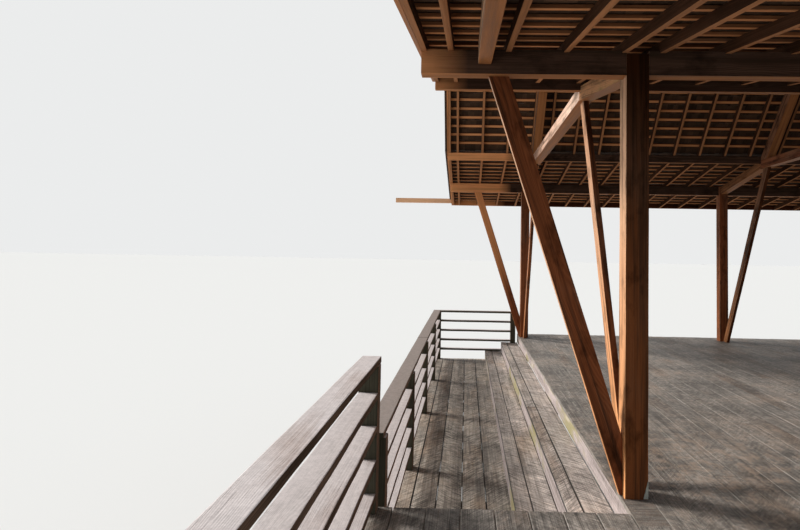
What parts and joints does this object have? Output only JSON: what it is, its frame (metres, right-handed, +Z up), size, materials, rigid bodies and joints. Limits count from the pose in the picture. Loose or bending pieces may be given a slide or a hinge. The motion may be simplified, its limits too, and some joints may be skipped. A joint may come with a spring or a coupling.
{
  "type": "stilt house",
  "caption": "Open timber hall on stilts with a raised board floor, a stepped lower side walk with rail fences, raking struts and a shingled gable roof with shallow skirts.",
  "frame": {"origin": "ground level, under the middle of the plan box", "axes": "+X along the ridge, from the lower side walk towards the other gable; +Y across the hall, from the platform towards the far eave; +Z up"},
  "size_m": [11.7, 11.015, 7.7949],
  "materials": {
    "footing_stone": "rough",
    "under_floor_timber": "rough sawn, unpainted",
    "deck_boards": "weathered, unpainted",
    "railing_timber": "weathered, unpainted",
    "frame_timber": "planed hardwood, oiled",
    "roof_timber": "sawn hardwood",
    "shingles": "split, weathered"
  },
  "bodies": {
    "root": {"footings": "footing_stone", "main_stilts": "under_floor_timber", "walk_stilts": "under_floor_timber", "floor_bearers": "under_floor_timber", "walk_bearers": "under_floor_timber", "floor_joists": "under_floor_timber", "walk_joists": "under_floor_timber", "step_stringers": "under_floor_timber", "main_floor": "deck_boards", "landing_floor": "deck_boards", "walk_floor": "deck_boards", "lower_tread": "deck_boards", "upper_tread": "deck_boards", "riser_boards": "deck_boards", "landing_rail_posts": "railing_timber", "landing_rails": "railing_timber", "walk_rail_posts": "railing_timber", "walk_rails": "railing_timber", "return_rails": "railing_timber", "handrails": "railing_timber", "near_posts": "frame_timber", "far_posts": "frame_timber", "bent_struts": "frame_timber", "end_struts": "frame_timber", "tie_beams": "frame_timber", "lower_principals": "frame_timber", "upper_principals": "frame_timber", "near_plate": "frame_timber", "far_plate": "frame_timber", "purlins": "frame_timber", "ridge_beam": "frame_timber", "eave_bearers": "frame_timber", "near_skirt_rafters": "roof_timber", "far_skirt_rafters": "roof_timber", "near_steep_rafters": "roof_timber", "far_steep_rafters": "roof_timber", "near_battens": "roof_timber", "far_battens": "roof_timber", "near_skirt_cover": "shingles", "far_skirt_cover": "shingles", "near_steep_cover": "shingles", "far_steep_cover": "shingles", "ridge_cap": "frame_timber", "barge_boards": "frame_timber", "rain_spout": "frame_timber"}
  },
  "joints": []
}
